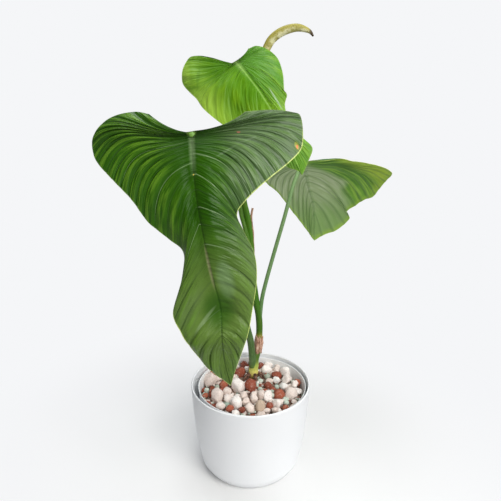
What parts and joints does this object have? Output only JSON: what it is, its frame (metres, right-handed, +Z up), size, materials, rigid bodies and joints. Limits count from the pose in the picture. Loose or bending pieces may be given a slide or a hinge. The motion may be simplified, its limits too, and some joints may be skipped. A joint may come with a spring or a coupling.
{
  "type": "potted philodendron expandilobum",
  "caption": "Potted climbing aroid: wide-lobed drooping leaves on long round stalks, a curved young shoot, gravelly substrate, a plastic liner and a tapered round planter.",
  "frame": {"origin": "centre of the planter's flat foot, on the surface that it stands on", "axes": "+Z up along the planter's axis; the big front leaf faces -Y; the back leaf leans to +X and +Y"},
  "size_m": [0.3437, 0.3377, 0.5359],
  "materials": {
    "planter": "satin white injection-moulded polypropylene",
    "liner": "thin milky grey moulded plastic, slightly translucent",
    "substrate": "loose pumice, fired clay balls and pale green zeolite, dry and dusty",
    "stem": "green stem, yellow at the foot, with brown roots",
    "petiole": "smooth satin green leaf stalk with fine lengthwise flecks",
    "shoot": "olive green bract with pale patches and a dry brown tip",
    "dried_bract": "dry brown papery bract",
    "leaf_dark": "dark glossy green upper face, paler dull underside, thin yellow-green margin",
    "leaf_bright": "bright green satin young leaf",
    "leaf_back": "mid green leaf with a dull grey-green underside"
  },
  "bodies": {
    "root": {"outer_planter": "planter", "inner_liner": "liner", "substrate": "substrate", "stem": "stem", "petiole_front": "petiole", "petiole_upper": "petiole", "petiole_back": "petiole", "young_shoot": "shoot", "dried_bract": "dried_bract", "leaf_front": "leaf_dark", "leaf_upper": "leaf_bright", "leaf_back": "leaf_back"}
  },
  "joints": []
}
